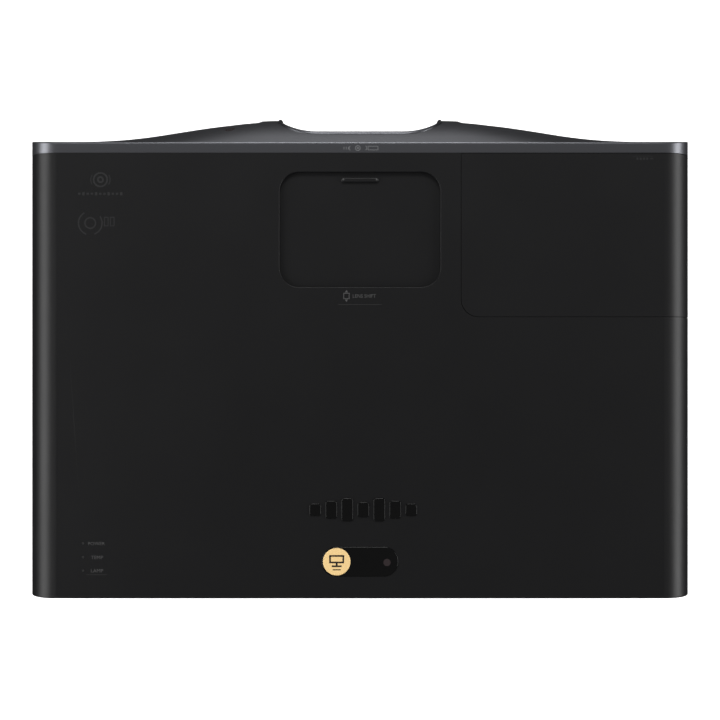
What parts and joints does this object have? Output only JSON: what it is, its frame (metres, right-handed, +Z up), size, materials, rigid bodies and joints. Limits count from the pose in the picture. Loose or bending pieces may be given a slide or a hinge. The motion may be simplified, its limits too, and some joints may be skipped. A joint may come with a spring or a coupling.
{
  "type": "home cinema projector",
  "caption": "Wide black home cinema projector with a swollen gunmetal front, a shiftable centre lens, a sliding dial door, a side lamp cover and a side keypad.",
  "frame": {"origin": "on the surface the projector stands on, under the middle of its footprint", "axes": "+Z up; the front with the lens faces -Y; the keypad is on the +X side and the lamp cover on the -X side"},
  "size_m": [0.493, 0.3636, 0.1439],
  "materials": {
    "cover_black": "fine-textured black moulding",
    "fascia_gunmetal": "satin gunmetal lacquer",
    "bezel_black": "smooth black moulding",
    "louvre_black": "black moulding",
    "tray_black": "plain black moulding",
    "dial_grey": "grey moulding, grooved edge",
    "key_grey": "satin key cap",
    "gloss_black": "polished black",
    "gold": "brushed gold-coloured metal",
    "dark_window": "smoked clear plastic",
    "light_pipe": "frosted clear plastic",
    "lens_glass": "coated optical glass",
    "lens_black": "black anodised",
    "ring_rubber": "ribbed rubber grip",
    "foot_rubber": "matt rubber",
    "circuit_green": "green circuit board with black and metal parts",
    "aluminium": "die cast, plain",
    "steel": "zinc plated",
    "screw_black": "blackened steel",
    "wheel_glass": "segmented colour filter glass",
    "lamp_glass": "clear quartz and coated reflector",
    "lamp_case": "heat resistant dark plastic",
    "fan_black": "black moulding",
    "socket_metal": "nickel plated",
    "socket_black": "black moulding"
  },
  "bodies": {
    "chassis": {"base_pan": "cover_black", "top_cover": "cover_black", "front_fascia": "fascia_gunmetal", "lens_bezel": "bezel_black", "front_louvre_left": "louvre_black", "front_louvre_right": "louvre_black", "rear_panel": "cover_black", "dial_tray": "tray_black", "shift_frame": "steel", "engine_housing": "aluminium", "light_rod": "lamp_glass", "color_wheel_motor": "steel", "mirror_chip_board": "circuit_green", "mirror_chip_heatsink": "aluminium", "lamp_housing": "lamp_case", "lamp_bulb": "lamp_glass", "exhaust_fan_frame": "fan_black", "intake_fan_frame": "fan_black", "main_board": "circuit_green", "hdmi_sockets": "socket_metal", "usb_sockets": "socket_metal", "lan_socket": "socket_metal", "serial_socket": "socket_metal", "audio_jacks": "socket_black", "ac_inlet": "socket_black", "power_supply": "circuit_green", "lamp_ballast": "circuit_green", "keypad_bezel": "gloss_black", "keypad_board": "circuit_green", "rear_feet": "foot_rubber", "status_lights": "light_pipe", "badge_plate": "gloss_black", "badge_disc": "gold", "remote_windows": "dark_window", "case_screws": "screw_black"},
    "lens_shift_door": {"lens_shift_door": "cover_black"},
    "lamp_cover": {"lamp_cover": "cover_black"},
    "lamp_cover_screw": {"lamp_cover_screw": "screw_black"},
    "vertical_shift_dial": {"vertical_shift_dial": "dial_grey"},
    "horizontal_shift_dial": {"horizontal_shift_dial": "dial_grey"},
    "shift_carriage": {"shift_carriage": "steel"},
    "lens_barrel": {"lens_barrel": "lens_black"},
    "zoom_ring": {"zoom_ring": "ring_rubber"},
    "focus_ring": {"focus_ring": "ring_rubber"},
    "front_lens_group": {"front_lens_cell": "lens_black", "front_lens": "lens_glass"},
    "color_wheel": {"color_wheel": "wheel_glass"},
    "exhaust_fan_rotor": {"exhaust_fan_rotor": "fan_black"},
    "intake_fan_rotor": {"intake_fan_rotor": "fan_black"},
    "power_button": {"power_button": "key_grey"},
    "up_button": {"up_button": "key_grey"},
    "left_button": {"left_button": "key_grey"},
    "ok_button": {"ok_button": "key_grey"},
    "right_button": {"right_button": "key_grey"},
    "down_button": {"down_button": "key_grey"},
    "menu_button": {"menu_button": "key_grey"},
    "foot_stud_left": {"foot_stud_left": "steel"},
    "foot_wheel_left": {"foot_wheel_left": "tray_black"},
    "foot_stud_right": {"foot_stud_right": "steel"},
    "foot_wheel_right": {"foot_wheel_right": "tray_black"}
  },
  "joints": [
    {"name": "door_slide", "type": "slide", "parent": "chassis", "child": "lens_shift_door", "axis": [0, 1, 0], "range_m": [0, 0.075]},
    {"name": "lamp_cover_slide", "type": "slide", "parent": "chassis", "child": "lamp_cover", "axis": [-1, 0, 0], "range_m": [0, 0.18]},
    {"name": "lamp_cover_screw_turn", "type": "hinge", "parent": "lamp_cover", "child": "lamp_cover_screw", "pos_m": [-0.244, -0.088, 0.082], "axis": [-1, 0, 0], "continuous": true},
    {"name": "vertical_dial_turn", "type": "hinge", "parent": "chassis", "child": "vertical_shift_dial", "pos_m": [0.028, -0.095, 0.13], "axis": [0, 0, 1], "range_deg": [-360, 360]},
    {"name": "lens_shift_vertical", "type": "slide", "parent": "chassis", "child": "shift_carriage", "axis": [0, 0, 1], "range_m": [-0.0035, 0.0035]},
    {"name": "horizontal_dial_turn", "type": "hinge", "parent": "chassis", "child": "horizontal_shift_dial", "pos_m": [-0.028, -0.095, 0.13], "axis": [0, 0, 1], "range_deg": [-57.3, 57.3]},
    {"name": "lens_shift_horizontal", "type": "slide", "parent": "shift_carriage", "child": "lens_barrel", "axis": [1, 0, 0], "range_m": [-0.0025, 0.0025]},
    {"name": "zoom_ring_turn", "type": "hinge", "parent": "lens_barrel", "child": "zoom_ring", "pos_m": [0, -0.1395, 0.0755], "axis": [0, -1, 0], "range_deg": [-30, 30]},
    {"name": "focus_ring_turn", "type": "hinge", "parent": "lens_barrel", "child": "focus_ring", "pos_m": [0, -0.1548, 0.0755], "axis": [0, -1, 0], "range_deg": [0, 90]},
    {"name": "focus_travel", "type": "slide", "parent": "lens_barrel", "child": "front_lens_group", "axis": [0, -1, 0], "range_m": [0, 0.002]},
    {"name": "color_wheel_spin", "type": "hinge", "parent": "chassis", "child": "color_wheel", "pos_m": [-0.1157, -0.087, 0.087], "axis": [1, 0, 0], "continuous": true},
    {"name": "exhaust_fan_spin", "type": "hinge", "parent": "chassis", "child": "exhaust_fan_rotor", "pos_m": [-0.226, 0.04, 0.068], "axis": [1, 0, 0], "continuous": true},
    {"name": "intake_fan_spin", "type": "hinge", "parent": "chassis", "child": "intake_fan_rotor", "pos_m": [0.225, -0.005, 0.068], "axis": [1, 0, 0], "continuous": true},
    {"name": "power_press", "type": "slide", "parent": "chassis", "child": "power_button", "axis": [-1, 0, 0], "range_m": [0, 0.0008], "stiffness_N_per_m": 600, "springref_m": -0.0004},
    {"name": "up_press", "type": "slide", "parent": "chassis", "child": "up_button", "axis": [-1, 0, 0], "range_m": [0, 0.0008], "stiffness_N_per_m": 600, "springref_m": -0.0004},
    {"name": "left_press", "type": "slide", "parent": "chassis", "child": "left_button", "axis": [-1, 0, 0], "range_m": [0, 0.0008], "stiffness_N_per_m": 600, "springref_m": -0.0004},
    {"name": "ok_press", "type": "slide", "parent": "chassis", "child": "ok_button", "axis": [-1, 0, 0], "range_m": [0, 0.0008], "stiffness_N_per_m": 600, "springref_m": -0.0004},
    {"name": "right_press", "type": "slide", "parent": "chassis", "child": "right_button", "axis": [-1, 0, 0], "range_m": [0, 0.0008], "stiffness_N_per_m": 600, "springref_m": -0.0004},
    {"name": "down_press", "type": "slide", "parent": "chassis", "child": "down_button", "axis": [-1, 0, 0], "range_m": [0, 0.0008], "stiffness_N_per_m": 600, "springref_m": -0.0004},
    {"name": "menu_press", "type": "slide", "parent": "chassis", "child": "menu_button", "axis": [-1, 0, 0], "range_m": [0, 0.0008], "stiffness_N_per_m": 600, "springref_m": -0.0004},
    {"name": "foot_wheel_left_turn", "type": "hinge", "parent": "chassis", "child": "foot_wheel_left", "pos_m": [0.195, -0.115, 0.005], "axis": [0, 0, 1], "range_deg": [0, 2880]},
    {"name": "foot_left_travel", "type": "slide", "parent": "chassis", "child": "foot_stud_left", "axis": [0, 0, -1], "range_m": [0, 0.012]},
    {"name": "foot_wheel_right_turn", "type": "hinge", "parent": "chassis", "child": "foot_wheel_right", "pos_m": [-0.195, -0.115, 0.005], "axis": [0, 0, 1], "range_deg": [0, 2880]},
    {"name": "foot_right_travel", "type": "slide", "parent": "chassis", "child": "foot_stud_right", "axis": [0, 0, -1], "range_m": [0, 0.012]}
  ],
  "couplings": [
    {"joint": "vertical_dial_turn", "follows": "lens_shift_vertical", "rad_per_m": 1795},
    {"joint": "horizontal_dial_turn", "follows": "lens_shift_horizontal", "rad_per_m": 400},
    {"joint": "focus_ring_turn", "follows": "focus_travel", "rad_per_m": 785},
    {"joint": "foot_wheel_left_turn", "follows": "foot_left_travel", "rad_per_m": 4188},
    {"joint": "foot_wheel_right_turn", "follows": "foot_right_travel", "rad_per_m": 4188}
  ]
}
